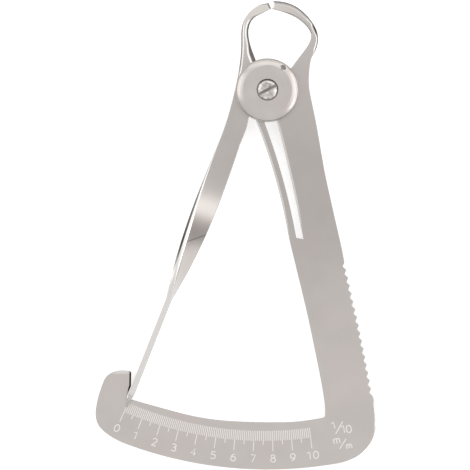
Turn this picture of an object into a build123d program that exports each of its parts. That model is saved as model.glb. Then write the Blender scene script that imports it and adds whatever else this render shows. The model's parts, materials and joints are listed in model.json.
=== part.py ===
from build123d import *
import os
from math import asin, atan2, cos, degrees, hypot, radians, sin, sqrt

# Decimal thickness caliper with curved outside jaws, lying on its rear disc.
# Origin: pivot axis at the rear disc's face. +Y runs to the jaws, +Z to the reader.
# All sizes are in millimetres and all angles in degrees.

# Plate, and the gaps between what turns
plate_t = 1.3
running_gap = 0.05
bore_gap = 0.03
lap_step = 0.15

# Jaws and reading
max_reading = 10.0
marks_per_unit = 10
unit_turn = 3.11
jaw_reach = 18.5
tip_angle = 87.2
tip_face_half = 0.35
tip_gap = 0.08

# Pivot
disc_r = 7.0
disc_flat_r = 5.4
disc_bevel = 0.9
rest_gap = 0.1
lug_inset = 0.2
lug_margin = 12.0
hub_r = 3.4
bush_r = 1.8
screw_r = 1.25
screw_bore_gap = 0.05
screw_floor = 0.4
head_r = 2.25
head_t = 1.25
head_gap = 0.2
driver_slot_w = 0.75
driver_slot_depth = 0.6
driver_slot_angle = 33.0
washer_t = 0.25
washer_split = 0.3
pin_r = 0.45
pin_gap = 0.02
pin_place_r = 6.1
pin_angle = 54.8
pin_depth = 0.8

# Pointer arm
zero_angle = 24.0
pointer_reach = 77.0
arm_offset = 3.2
arm_w_top = 4.6
blade_w = 5.7
arm_waist = (-4.78, -8.8)
twist_start = 13.3
twist_end = 51.3
twist_shift = 0.295
widen_power = 0.55
twist_power = 1.45
twist_steps = 12
fork_inset = 0.6
fork_gap = 0.15
point_taper = 3.3
point_w = 0.16
prong_tip_t = 0.3
rear_prong_back = 1.8

# Scale arm, its thumb grip, sector and stop hook
scale_in_r = 73.8
scale_left_r = 75.25
scale_out_r = 84.3
window_corner_r = 0.5
window_angle = 10.05
heel_angle = 10.6
hook_root_angle = -22.0
hook_gap = 0.12
hook_throat_back = 4.7
hook_lip = (0.06, 2.6)
flank = [(9.25, 1.2), (10.1, -3.6), (12.3, -15.6)]
grip_top = (17.1, -38.1)
grip_low = (23.45, -67.95)
grip_teeth = 17
grip_depth = 0.6
grip_bulge = 0.3
arm_inner = [(12.3, -66.5), (10.95, -59.5), (9.2, -51.1)]

# Points about the sector: share of the way from its inner to its outer radius, and angle
heel = [(0.157, 18.6), (0.465, 17.78), (0.7, 16.6), (0.84, 15.28), (0.945, 13.7), (0.985, 12.3)]
sector_low = (0.99, -2.0)
hook_root_share = 1.025
hook_back = [
    (0.975, -25.4), (0.889, -26.9), (0.545, -28.5), (0.098, -29.3), (-0.09, -29.35), (-0.265, -28.45),
    (-0.36, -27.35), (-0.405, -26.25),
]
sector_high = [(0.055, -18.5), (0.034, -11.0), (-0.006, -0.5), (0.008, 6.0)]

# Leaf spring strip and its slot
leaf_w = 1.56
leaf_root = (5.65, -32.9)
leaf_tip = (-2.25, -5.2)
leaf_bend_r = 140.0
leaf_seat_gap = 0.05
leaf_push_gap = 0.37
slot_w_root = 1.55
slot_w_mid = 1.82
slot_w_tip = 3.05
slot_end_drop = 0.55

# Graduation: radii at the highest reading, and how much further out each unit below it stands
mark_in_r = 75.5
mark_fine_r = 77.72
mark_half_r = 78.6
mark_unit_r = 80.07
mark_drift = 0.045
mark_w = 0.18
mark_depth = 0.05

# Heights that follow: the discs are thick enough to keep the blade off the table
disc_t = blade_w / 2 - plate_t / 2 - running_gap + rest_gap
plate_low = disc_t + running_gap
plate_high = plate_low + plate_t
plate_mid = plate_low + plate_t / 2
lap_low = plate_mid - running_gap / 2
lap_high = plate_mid + running_gap / 2
front_low = plate_high + running_gap
top = front_low + disc_t
lap_r = hub_r + lap_step


def polar(r, angle):
    return (r * cos(radians(angle)), r * sin(radians(angle)))


def from_down(r, angle):
    """Point at radius r, with its angle counted from -Y towards +X."""
    return polar(r, angle - 90)


def shifted(point, by, scale=1.0):
    return (point[0] + by[0] * scale, point[1] + by[1] * scale)


def swing(reading):
    """Angle by which the arms open for a reading: the marks are evenly spaced."""
    return unit_turn * reading


def rod(r, low, high, at=(0, 0)):
    return Pos(at[0], at[1], low) * extrude(Circle(r), high - low)


def plate(outline, low=plate_low, high=plate_high):
    """Flat piece inside a closed outline, between two heights."""
    return Pos(0, 0, low) * extrude(make_face(outline), high - low)


# The pointer's straight line passes the pivot on its left and ends at the tip
lean = zero_angle - degrees(asin(arm_offset / pointer_reach))
down_arm = from_down(1, -lean)
left_of_arm = from_down(1, -lean - 90)


def on_arm(down, left=0.0):
    """Point beside the pointer's line, by its distance down past the pivot and to the left."""
    return shifted(shifted((0, 0), down_arm, down), left_of_arm, arm_offset + left)


def arm_crossing(r, left=0.0):
    """Distance down the pointer's line at which a line beside it has radius r."""
    return sqrt(r**2 - (arm_offset + left) ** 2)


tip_down = arm_crossing(pointer_reach)


def on_jaw(share, angle):
    """Point about the pivot, by its share of the jaws' reach."""
    return polar(share * jaw_reach, angle)


def on_sector(share, angle):
    """Point about the sector, by its share of the way from the inner to the outer arc."""
    return from_down(scale_in_r + share * (scale_out_r - scale_in_r), angle)


# The leaf's middle line is an arc that bulges to the right
leaf_chord = (leaf_tip[0] - leaf_root[0], leaf_tip[1] - leaf_root[1])
chord_l = hypot(*leaf_chord)
chord_right = (leaf_chord[1] / chord_l, -leaf_chord[0] / chord_l)
bend_centre = shifted(
    shifted(leaf_root, leaf_chord, 0.5), chord_right, -sqrt(leaf_bend_r**2 - chord_l**2 / 4)
)
leaf_start = degrees(atan2(leaf_root[1] - bend_centre[1], leaf_root[0] - bend_centre[0]))
leaf_turn = 2 * degrees(asin(chord_l / 2 / leaf_bend_r))


def on_leaf(share, right=0.0):
    """Point on the leaf, by its share of the way from root to tip and its offset to the right."""
    return shifted(bend_centre, polar(leaf_bend_r + right, leaf_start + share * leaf_turn))


def leaf_spring():
    half = leaf_w / 2
    cap = half / leaf_bend_r / radians(leaf_turn)
    return plate([
        ThreePointArc(on_leaf(0, half), on_leaf(0.5, half), on_leaf(1, half)),
        ThreePointArc(on_leaf(1, half), on_leaf(1 + cap), on_leaf(1, -half)),
        ThreePointArc(on_leaf(1, -half), on_leaf(0.5, -half), on_leaf(0, -half)),
        ThreePointArc(on_leaf(0, -half), on_leaf(-cap), on_leaf(0, half)),
    ])


def jaw_tip(side):
    """Inner corner of a jaw's tip, left or right of the place where the tips meet."""
    return shifted(polar(jaw_reach - tip_face_half, tip_angle), (side * tip_gap / 2, 0))


def right_jaw():
    outer_tip = shifted(jaw_tip(1), (0.0235 * jaw_reach, 0.095 * jaw_reach))
    waist = on_jaw(0.563, 26.2)
    down = (-0.1, -1)
    outside = Spline(
        [outer_tip, on_jaw(1.08, 79), on_jaw(1.066, 71.5), on_jaw(1.033, 64.8), on_jaw(0.956, 53.4),
         on_jaw(0.86, 44.7), on_jaw(0.716, 38.2), waist],
        tangents=[(1, -0.05), down],
    )
    grip_way = (grip_low[0] - grip_top[0], grip_low[1] - grip_top[1])
    lug_r = disc_r - lug_inset
    jaw_root = polar(lug_r, pin_angle - lug_margin)
    lug_end = polar(lug_r, pin_angle + lug_margin)
    inside = Spline(
        [jaw_root, on_jaw(0.525, 45.6), on_jaw(0.702, 47.6), on_jaw(0.847, 51.7), on_jaw(0.904, 59.1),
         on_jaw(0.938, 68), on_jaw(0.96, 78.3), jaw_tip(1)],
        tangents=[(1, 1), (-1, 0.25)],
    )
    return [
        Line((0, 0), lug_end),
        ThreePointArc(lug_end, polar(lug_r, pin_angle), jaw_root),
        inside,
        Line(jaw_tip(1), outer_tip),
        outside,
        Spline([waist, *flank, grip_top], tangents=[down, grip_way]),
    ]


def on_grip(share, inset=0.0):
    """Point on the grip's slightly bulging edge, by its share of the way down, or inside the edge."""
    way = (grip_low[0] - grip_top[0], grip_low[1] - grip_top[1])
    inward = (way[1] / hypot(*way), -way[0] / hypot(*way))
    bulge = grip_bulge * 4 * share * (1 - share)
    return shifted(shifted(grip_top, way, share), inward, inset - bulge)


def thumb_grip():
    """Round valleys between pointed teeth."""
    pitch = 1 / grip_teeth
    return [
        ThreePointArc(on_grip(n * pitch), on_grip((n + 0.5) * pitch, grip_depth), on_grip((n + 1) * pitch))
        for n in range(grip_teeth)
    ]


def window_corner():
    """Where the sector's inner arc meets the arm's inner edge, and the ends of the round there."""
    corner = from_down(scale_in_r, window_angle)
    on_sector_side = from_down(scale_in_r, window_angle - degrees(window_corner_r / scale_in_r))
    return on_sector_side, corner, shifted(corner, (0, window_corner_r))


def sector_and_hook():
    way = (grip_low[0] - grip_top[0], grip_low[1] - grip_top[1])
    heel_end = from_down(scale_out_r, heel_angle)
    hook_root = on_sector(hook_root_share, hook_root_angle)
    hook_side = plate_t / 2 + hook_gap
    throat = on_arm(tip_down - hook_throat_back, hook_side)
    lip = shifted(throat, hook_lip)
    notch = on_arm(arm_crossing(scale_left_r, hook_side), hook_side)
    corner_start, corner, inner_low = window_corner()
    round_in = window_corner_r * (1 - sqrt(0.5))
    return [
        Spline(
            [grip_low, *[on_sector(*place) for place in heel], heel_end],
            tangents=[way, from_down(1, heel_angle - 90)],
        ),
        ThreePointArc(heel_end, on_sector(*sector_low), hook_root),
        Spline(
            [hook_root, *[on_sector(*place) for place in hook_back], lip],
            tangents=[from_down(1, hook_root_angle - 90), (0, -1)],
        ),
        Polyline(lip, throat, notch),
        Spline(
            [notch, *[on_sector(*place) for place in sector_high], corner_start],
            tangents=[from_down(1, 75), from_down(1, window_angle + 90)],
        ),
        ThreePointArc(corner_start, shifted(corner, (-round_in, round_in)), inner_low),
    ]


def inner_edge_and_slot():
    """Inner edge up to the leaf's root seat, the slot's closed end and its right wall."""
    half = leaf_w / 2
    seat_r = half + leaf_seat_gap
    past_side = degrees(asin(sqrt(seat_r**2 - half**2) / seat_r))
    seat_left = leaf_start + 180 + past_side
    seat_low = (seat_left + leaf_start + 360) / 2
    inner_low = window_corner()[-1]
    lip = shifted(leaf_root, polar(seat_r, seat_left))
    wall_low = on_leaf(-slot_end_drop / chord_l, half + slot_w_root)
    wall_mid = on_leaf(0.5, half + slot_w_mid)
    wall_high = on_leaf(1, half + slot_w_tip)
    return [
        Spline([inner_low, *arm_inner, lip], tangents=[(0, 1), (-0.24, 1)]),
        ThreePointArc(lip, shifted(leaf_root, polar(seat_r, seat_low)), on_leaf(0, seat_r)),
        Line(on_leaf(0, seat_r), wall_low),
        ThreePointArc(wall_low, wall_mid, wall_high),
        Line(wall_high, (0, 0)),
    ]


def graduation():
    """Engraved marks: long at each unit, middling at each half, short between."""
    marks = []
    for n in range(round(max_reading * marks_per_unit) + 1):
        out_r = mark_fine_r
        if 2 * n % marks_per_unit == 0:
            out_r = mark_half_r
        if n % marks_per_unit == 0:
            out_r = mark_unit_r
        reading = n / marks_per_unit
        middle_r = (mark_in_r + out_r) / 2 + mark_drift * (max_reading - reading)
        turn = Rot(0, 0, swing(reading) - zero_angle)
        marks.append(turn * Pos(0, -middle_r) * Rectangle(mark_w, out_r - mark_in_r))
    return Pos(0, 0, plate_high - mark_depth) * extrude(Sketch() + marks, 2 * mark_depth)


def scale_arm():
    outline = right_jaw() + thumb_grip() + sector_and_hook() + inner_edge_and_slot()
    arm = plate(outline) - rod(lap_r, lap_low, plate_high)
    arm += rod(hub_r, plate_low, lap_low)
    arm -= rod(bush_r + bore_gap, plate_low, plate_high)
    arm -= rod(pin_r + pin_gap, plate_high - pin_depth, plate_high, polar(pin_place_r, pin_angle))
    return arm - graduation()


def left_jaw():
    """Outline of the pointer arm's flat part: jaw, hub and arm down to the twist."""
    outer_tip = shifted(jaw_tip(-1), (-0.0306 * jaw_reach, 0.07 * jaw_reach))
    inner_root = on_jaw(0.37, 111)
    push_turn = degrees(asin((leaf_w / 2 + leaf_push_gap) / hypot(*leaf_tip)))
    shoulder = polar(disc_r, degrees(atan2(leaf_tip[1], leaf_tip[0])) - push_turn)
    left_end = on_arm(twist_start, twist_shift + arm_w_top / 2)
    right_end = on_arm(twist_start, twist_shift - arm_w_top / 2)
    return [
        Spline(
            [left_end, on_jaw(0.387, 176.8), on_jaw(0.441, 139.5), on_jaw(0.653, 118.7),
             on_jaw(0.858, 110.1), on_jaw(0.938, 104.8), on_jaw(0.99, 100), on_jaw(1.037, 93.3), outer_tip],
            tangents=[from_down(-1, -lean), (1, 0.25)],
        ),
        Line(outer_tip, jaw_tip(-1)),
        Spline(
            [jaw_tip(-1), on_jaw(0.922, 94.7), on_jaw(0.878, 101), on_jaw(0.798, 105.9),
             on_jaw(0.66, 109.6), on_jaw(0.532, 110.8), inner_root],
            tangents=[(-1, -0.45), (0.36, -1)],
        ),
        Polyline(inner_root, (0, 0), shoulder),
        Spline([shoulder, arm_waist, right_end], tangents=[(-0.2, -1), down_arm]),
        Line(right_end, left_end),
    ]


def twist():
    """Quarter turn of the strip, quicker towards its end, its left edge coming forward."""
    sections = []
    for n in range(twist_steps + 1):
        share = n / twist_steps
        down = twist_start + share * (twist_end - twist_start)
        across = Plane(
            origin=(*on_arm(down, twist_shift * (1 - share)**3), plate_mid),
            x_dir=(*left_of_arm, 0),
            z_dir=(*down_arm, 0),
        )
        width = arm_w_top + share**widen_power * (blade_w - arm_w_top)
        sections.append(across * Rot(0, 0, -90 * share**twist_power) * Rectangle(width, plate_t))
    return loft(sections)


def blade():
    """Strip on edge, forked over the sector, its front prong drawn out to the point."""
    low = plate_mid - blade_w / 2
    high = plate_mid + blade_w / 2
    front_face = plate_high + fork_gap
    rear_face = plate_low - fork_gap
    fork_end = arm_crossing(scale_in_r - fork_inset)
    taper_start = tip_down - point_taper
    rear_end = tip_down - rear_prong_back
    profile = Polyline(
        (twist_end, low), (twist_end, high), (taper_start, high), (tip_down, front_face + prong_tip_t),
        (tip_down, front_face), (fork_end, front_face), (fork_end, rear_face), (rear_end, rear_face),
        (rear_end, rear_face - prong_tip_t), (taper_start, low), close=True,
    )
    side = Plane(origin=(*on_arm(0), 0), x_dir=(*down_arm, 0), z_dir=(*left_of_arm, 0))
    strip = extrude(side * make_face(profile), plate_t / 2, both=True)
    half = plate_t / 2
    point = point_w / 2
    plan = Polyline(
        on_arm(twist_end, half), on_arm(taper_start, half), on_arm(tip_down, point),
        on_arm(tip_down, -point), on_arm(taper_start, -half), on_arm(twist_end, -half), close=True,
    )
    return strip & plate(plan, low, high)


def pointer_arm():
    arm = plate(left_jaw()) - rod(lap_r, plate_low, lap_high)
    arm += rod(hub_r, lap_high, plate_high)
    arm += twist() + blade()
    return arm - rod(bush_r + bore_gap, plate_low, plate_high)


def disc():
    """Bevelled round, flat side down."""
    body = extrude(Circle(disc_r), disc_t)
    rim = body.faces().sort_by(Axis.Z)[-1].edges()
    return chamfer(rim, length=disc_bevel, length2=disc_r - disc_flat_r)


def front_disc():
    seat = top - head_t - washer_t
    body = Pos(0, 0, front_low) * disc()
    body -= rod(head_r + head_gap, seat, top)
    body -= rod(screw_r + screw_bore_gap, front_low, seat)
    return body - rod(pin_r + pin_gap, front_low, top, polar(pin_place_r, pin_angle))


def rear_disc():
    body = Pos(0, 0, disc_t) * Rot(180, 0, 0) * disc()
    return body - rod(screw_r, screw_floor, disc_t)


def pivot_bush():
    return rod(bush_r, disc_t, front_low) - rod(screw_r + screw_bore_gap, disc_t, front_low)


def pivot_screw():
    screw = rod(head_r, top - head_t, top) + rod(screw_r, screw_floor, top - head_t)
    slot = Box(3 * head_r, driver_slot_w, 2 * driver_slot_depth)
    return screw - Pos(0, 0, top) * Rot(0, 0, driver_slot_angle) * slot


def spring_washer():
    low = top - head_t - washer_t
    ring = rod(head_r, low, low + washer_t) - rod(screw_r + screw_bore_gap, low, low + washer_t)
    return ring - Pos(head_r, 0, low) * Box(2 * head_r, washer_split, 3 * washer_t)


def disc_pin():
    return rod(pin_r, plate_high - pin_depth, top - disc_bevel, polar(pin_place_r, pin_angle))


os.makedirs("parts", exist_ok=True)
pieces = {
    "scale_arm": scale_arm(),
    "leaf_spring": leaf_spring(),
    "pointer_arm": pointer_arm(),
    "front_disc": front_disc(),
    "rear_disc": rear_disc(),
    "pivot_bush": pivot_bush(),
    "pivot_screw": pivot_screw(),
    "spring_washer": spring_washer(),
    "disc_pin": disc_pin(),
}
for name, piece in pieces.items():
    piece.label = name
    export_step(piece, f"parts/{name}.step")

print(f"arms open by {swing(max_reading):.2f} degrees for {max_reading:g} mm")
print(f"plate from z {plate_low:.2f} to {plate_high:.2f}, top at {top:.2f}")
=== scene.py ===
import json
import math
import bmesh
import bpy
from mathutils import Matrix, Vector
from mathutils.geometry import tessellate_polygon


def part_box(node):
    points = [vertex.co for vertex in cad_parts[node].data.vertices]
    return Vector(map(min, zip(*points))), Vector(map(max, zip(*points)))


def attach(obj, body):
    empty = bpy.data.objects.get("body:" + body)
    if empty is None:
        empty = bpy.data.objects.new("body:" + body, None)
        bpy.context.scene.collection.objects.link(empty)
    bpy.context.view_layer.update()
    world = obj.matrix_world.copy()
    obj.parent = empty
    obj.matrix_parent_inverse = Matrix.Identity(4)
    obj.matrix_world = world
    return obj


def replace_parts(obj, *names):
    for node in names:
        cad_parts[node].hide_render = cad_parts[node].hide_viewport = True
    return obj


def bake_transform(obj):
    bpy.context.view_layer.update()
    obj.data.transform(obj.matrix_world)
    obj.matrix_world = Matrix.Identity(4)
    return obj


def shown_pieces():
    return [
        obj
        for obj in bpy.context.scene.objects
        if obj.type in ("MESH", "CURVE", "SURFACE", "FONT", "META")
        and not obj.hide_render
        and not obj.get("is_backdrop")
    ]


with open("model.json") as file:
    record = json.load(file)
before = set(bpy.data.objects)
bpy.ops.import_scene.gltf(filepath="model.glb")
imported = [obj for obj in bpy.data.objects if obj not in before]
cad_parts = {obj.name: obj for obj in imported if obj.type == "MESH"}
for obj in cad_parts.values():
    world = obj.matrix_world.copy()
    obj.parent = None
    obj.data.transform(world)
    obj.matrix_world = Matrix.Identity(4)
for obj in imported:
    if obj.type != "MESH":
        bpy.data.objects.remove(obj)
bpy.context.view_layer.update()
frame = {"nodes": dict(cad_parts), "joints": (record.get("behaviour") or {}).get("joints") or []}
mm = 0.001

# heights of the plate that both arms are stamped from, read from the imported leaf
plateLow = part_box("leaf_spring")[0].z
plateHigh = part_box("leaf_spring")[1].z
plateMid = (plateLow + plateHigh) / 2
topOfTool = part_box("front_disc")[1].z
pivotGap = 0.05 * mm
# points nearer each other than this are one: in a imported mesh, where parts meet and along a cut
weld = {"packed": 0.002 * mm, "parts": 0.001 * mm, "cut": 0.0005 * mm}
# how far along a line a face's normal points, for the face to count as square to it
square = {"exactly": 0.9999, "nearly": 0.99, "mostly": 0.7, "partly": 0.3}
# turns in degrees from which an edge is drawn sharp, on stamped and on turned pieces
sharpTurn = {"stamped": 22, "turned": 30}


# node trees

def setInputs(tree, node, inputs):
    # each input gets a value, or the socket that feeds it
    for key, item in inputs.items():
        if isinstance(item, bpy.types.NodeSocket):
            tree.links.new(item, node.inputs[key])
        else:
            node.inputs[key].default_value = item


def addNode(tree, kind, inputs=None, **settings):
    # a node with its settings and inputs; what comes back is its outputs
    node = tree.nodes.new(kind)
    for key, value in settings.items():
        setattr(node, key, value)
    setInputs(tree, node, inputs or {})
    return node.outputs


def startTree(name, kinds):
    # a Geometry Nodes tree with named inputs
    tree = bpy.data.node_groups.new(name, "GeometryNodeTree")
    for key, kind in kinds.items():
        tree.interface.new_socket(key, in_out="INPUT", socket_type="NodeSocket" + kind)
    tree.interface.new_socket("Geometry", in_out="OUTPUT", socket_type="NodeSocketGeometry")
    return tree, addNode(tree, "NodeGroupInput")


def giveInputs(modifier, values):
    # each input is set by its socket's identifier
    for item in modifier.node_group.interface.items_tree:
        if item.item_type == "SOCKET" and item.in_out == "INPUT" and item.name in values:
            modifier[item.identifier] = values[item.name]


def toLinear(hexColour):
    channels = [int(hexColour[i:i + 2], 16) / 255 for i in (1, 3, 5)]
    return [c / 12.92 if c <= 0.04045 else ((c + 0.055) / 1.055) ** 2.4 for c in channels] + [1.0]


def startMaterial(name):
    material = bpy.data.materials.new(name)
    material.use_nodes = True
    tree = material.node_tree
    return material, tree, tree.nodes["Principled BSDF"]


# materials

# scales of the patterns come from real sizes: a node scale of 1 is one pattern cell per metre
def perMetre(millimetres):
    return 1 / (millimetres * mm)


satin = {"grainTurn": -8, "light": "#C4BEBA", "cool": "#BEB9B5", "warm": "#C2BAB6", "tips": "#EEE7E1"}
# painted shade: the colour darkens towards this middle of the tool
paintedShadeMiddle = {"middle": (7.0, -20.0, 3.0), "reach": 46.0, "most": 0.2}
# the colour lightens towards the jaws' tips
lighterJaws = {"middle": (-2.0, 17.0, 3.0), "reach": 12.0, "most": 0.5}
# a thin dark line painted across the pointer: its middle, turn, width, reach and darkness
darkStreak = {"middle": (-15.7, -32.85, 3.0), "turn": 19.0, "width": 0.22, "reach": 4.5, "dark": 0.38}
black = (0, 0, 0, 1)


def satinSteel():
    # stainless sheet ground on a belt: soft grey, faint lengthwise grain, warmer and cooler clouds,
    # painted shade darkening the middle of the tool, and a lighter colour towards the jaws' tips
    material, tree, shader = startMaterial("satinGroundStainless")
    place = addNode(tree, "ShaderNodeTexCoord")["Object"]
    turned = addNode(tree, "ShaderNodeMapping", {
        "Vector": place, "Rotation": (0, 0, math.radians(satin["grainTurn"]))})[0]
    hue = addNode(tree, "ShaderNodeTexNoise", {
        "Vector": turned, "Scale": perMetre(9), "Detail": 1})["Fac"]
    hueShare = addNode(tree, "ShaderNodeMapRange", {
        "Value": hue, "From Min": 0.35, "From Max": 0.65})[0]
    colour = addNode(tree, "ShaderNodeMix", {
        "Factor": hueShare, "A": toLinear(satin["cool"]), "B": toLinear(satin["warm"])},
        data_type="RGBA")["Result"]
    clouds = addNode(tree, "ShaderNodeTexNoise", {
        "Vector": place, "Scale": perMetre(8), "Detail": 2, "Roughness": 0.5})["Fac"]
    cloudShare = addNode(tree, "ShaderNodeMapRange", {
        "Value": clouds, "From Min": 0.4, "From Max": 0.64, "To Max": 0.85})[0]
    layers = [(cloudShare, toLinear(satin["light"]))]
    for spot, tint in ((paintedShadeMiddle, black), (lighterJaws, toLinear(satin["tips"]))):
        away = addNode(tree, "ShaderNodeVectorMath", {0: place, 1: [c * mm for c in spot["middle"]]},
                       operation="DISTANCE")["Value"]
        near = addNode(tree, "ShaderNodeMapRange", {
            "Value": away, "From Max": spot["reach"] * mm, "To Min": spot["most"], "To Max": 0.0},
            interpolation_type="SMOOTHSTEP")[0]
        layers.append((near, tint))
    # one thin dark line is painted across the pointer
    fromStreak = addNode(tree, "ShaderNodeVectorMath", {0: place, 1: [c * mm for c in darkStreak["middle"]]},
                         operation="SUBTRACT")[0]
    turn = math.radians(darkStreak["turn"])
    acrossStreak = (-math.sin(turn), math.cos(turn), 0)
    beside = addNode(tree, "ShaderNodeVectorMath", {0: fromStreak, 1: acrossStreak},
                     operation="DOT_PRODUCT")["Value"]
    distance = addNode(tree, "ShaderNodeMath", {0: beside}, operation="ABSOLUTE")[0]
    line = addNode(tree, "ShaderNodeMapRange", {
        "Value": distance, "From Min": 0.3 * darkStreak["width"] * mm, "From Max": darkStreak["width"] * mm,
        "To Min": darkStreak["dark"], "To Max": 0.0})[0]
    away = addNode(tree, "ShaderNodeVectorMath", {0: fromStreak}, operation="LENGTH")["Value"]
    onPointer = addNode(tree, "ShaderNodeMath", {0: away, 1: darkStreak["reach"] * mm},
                        operation="LESS_THAN")[0]
    crossed = addNode(tree, "ShaderNodeMath", {0: line, 1: onPointer}, operation="MULTIPLY")[0]
    layers.append((crossed, black))
    for share, tint in layers:
        colour = addNode(tree, "ShaderNodeMix", {"Factor": share, "A": colour, "B": tint},
                         data_type="RGBA")["Result"]
    # belt grit leaves scratches about 0.05 mm wide; drawn 0.12 mm wide so that they show
    stretched = addNode(tree, "ShaderNodeMapping", {
        "Vector": turned, "Scale": (perMetre(0.12), perMetre(4), perMetre(4))})[0]
    grain = addNode(tree, "ShaderNodeTexNoise", {
        "Vector": stretched, "Scale": 1.0, "Detail": 3, "Roughness": 0.6})["Fac"]
    gloss = addNode(tree, "ShaderNodeMapRange", {"Value": grain, "To Min": 0.24, "To Max": 0.36})[0]
    relief = addNode(tree, "ShaderNodeBump", {
        "Height": grain, "Strength": 0.12, "Distance": 0.004 * mm})[0]
    setInputs(tree, shader, {
        "Base Color": colour, "Roughness": gloss, "Normal": relief, "Metallic": 1.0})
    return material


def cutEdgeSteel():
    # the same sheet where it was sheared and then tumbled, coloured by a painted shade value: light on
    # the round, dark on the cut wall, and almost white, a painted highlight, where the twist's edge was
    # ground (shade below 0)
    material, tree, shader = startMaterial("cutEdgePaintedShade")
    shade = addNode(tree, "ShaderNodeAttribute", attribute_name="edgeShade")["Fac"]
    place = addNode(tree, "ShaderNodeTexCoord")["Object"]
    colour = addNode(tree, "ShaderNodeMix", {
        "Factor": shade, "A": toLinear("#D9D6D3"), "B": toLinear("#4A4542")},
        data_type="RGBA")["Result"]
    # below 0 the painted shade turns into a painted highlight, towards white
    ground = addNode(tree, "ShaderNodeMapRange", {
        "Value": shade, "From Min": -1.0, "From Max": 0.0, "To Min": 1.0, "To Max": 0.0})[0]
    colour = addNode(tree, "ShaderNodeMix", {
        "Factor": ground, "A": colour, "B": toLinear("#FDFBF8")}, data_type="RGBA")["Result"]
    specks = addNode(tree, "ShaderNodeTexNoise", {
        "Vector": place, "Scale": perMetre(0.6), "Detail": 3})["Fac"]
    gloss = addNode(tree, "ShaderNodeMapRange", {"Value": specks, "To Min": 0.2, "To Max": 0.34})[0]
    setInputs(tree, shader, {"Base Color": colour, "Roughness": gloss, "Metallic": 1.0})
    return material


def turnedSteel(name, colours, ringWidth, gloss, cloudWidth=4):
    # bar steel turned on a lathe and polished: fine rings round the pivot catch the light
    material, tree, shader = startMaterial(name)
    place = addNode(tree, "ShaderNodeTexCoord")["Object"]
    flat = addNode(tree, "ShaderNodeVectorMath", {0: place, 1: (1, 1, 0)}, operation="MULTIPLY")[0]
    radius = addNode(tree, "ShaderNodeVectorMath", {0: flat}, operation="LENGTH")["Value"]
    rings = addNode(tree, "ShaderNodeTexNoise", {
        "W": radius, "Scale": perMetre(ringWidth), "Detail": 2}, noise_dimensions="1D")["Fac"]
    clouds = addNode(tree, "ShaderNodeTexNoise", {
        "Vector": place, "Scale": perMetre(cloudWidth), "Detail": 1})["Fac"]
    cloudShare = addNode(tree, "ShaderNodeMapRange", {
        "Value": clouds, "From Min": 0.3, "From Max": 0.7})[0]
    tone = addNode(tree, "ShaderNodeMix", {
        "Factor": cloudShare, "A": toLinear(colours[0]), "B": toLinear(colours[1])},
        data_type="RGBA")["Result"]
    roughness = addNode(tree, "ShaderNodeMapRange", {
        "Value": rings, "To Min": gloss[0], "To Max": gloss[1]})[0]
    relief = addNode(tree, "ShaderNodeBump", {
        "Height": rings, "Strength": 0.15, "Distance": 0.005 * mm})[0]
    setInputs(tree, shader, {
        "Base Color": tone, "Roughness": roughness, "Normal": relief, "Metallic": 1.0})
    return material


def etchedMark():
    # laser etch: a pale, matt frost burnt into the sheet
    material, tree, shader = startMaterial("etchedFrost")
    place = addNode(tree, "ShaderNodeTexCoord")["Object"]
    frost = addNode(tree, "ShaderNodeTexNoise", {
        "Vector": place, "Scale": perMetre(0.3), "Detail": 3})["Fac"]
    tone = addNode(tree, "ShaderNodeMix", {
        "Factor": frost, "A": toLinear("#E2DDD8"), "B": toLinear("#F6F3F0")},
        data_type="RGBA")["Result"]
    setInputs(tree, shader, {"Base Color": tone, "Metallic": 0.2, "Roughness": 0.6})
    return material


sheetSteel = satinSteel()
edgeSteel = cutEdgeSteel()
discSteel = turnedSteel("turnedStainless", ("#BFB8B4", "#C4BFBB"), 0.15, (0.2, 0.3))
screwSteel = turnedSteel("polishedScrewSteel", ("#9A9692", "#E0DBD7"), 0.1, (0.16, 0.26), 0.9)
# rougher steel for the screw's sawn slot and the sunk pin, its darker colour painted shade
sawnAndShadedSteel = turnedSteel("sawnSlotSteelPaintedShade", ("#928D88", "#A6A19C"), 0.2, (0.4, 0.55))
# darker, blotched steel for the dimple where the pin is sunk: painted shade in the hollow
paintedShadeSteel = turnedSteel("paintedShadeSteel", ("#57534F", "#D2CBC6"), 0.2, (0.4, 0.55), 0.45)
markWhite = etchedMark()
print("materials made")


# shapes

def ramp(value, over):
    # 0 to 1 while the value goes from 0 to over
    return min(1, max(0, value / over))


def eased(share):
    return share * share * (3 - 2 * share)


def addObject(name, data):
    piece = bpy.data.objects.new(name, data)
    bpy.context.scene.collection.objects.link(piece)
    return piece


def meshOf(name, work):
    mesh = bpy.data.meshes.new(name)
    work.to_mesh(mesh)
    work.free()
    return mesh


def shadeByAngle(mesh, corner):
    mesh.shade_smooth()
    mesh.set_sharp_from_angle(angle=math.radians(corner))


def dressed(piece, materials, body):
    # clearing the slots would also send every face back to the first one
    chosen = [face.material_index for face in piece.data.polygons]
    piece.data.materials.clear()
    for material in materials:
        piece.data.materials.append(material)
    piece.data.polygons.foreach_set("material_index", chosen)
    if body:
        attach(piece, body)
    return piece


def finishedMesh(name, work, materials, body, corner=sharpTurn["stamped"]):
    mesh = meshOf(name, work)
    shadeByAngle(mesh, corner)
    return dressed(addObject(name, mesh), materials, body)


def evaluatedMesh(piece):
    return bpy.data.meshes.new_from_object(piece.evaluated_get(bpy.context.evaluated_depsgraph_get()))


def appliedMesh(piece):
    # the evaluated shape as a plain mesh, with no modifier left
    shape = evaluatedMesh(piece)
    piece.modifiers.clear()
    piece.data = shape
    return piece


def partAlong(work, point, normal, **kept):
    bmesh.ops.bisect_plane(work, geom=[*work.verts, *work.edges, *work.faces], dist=weld["cut"],
                           plane_co=point, plane_no=normal, **kept)


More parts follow.
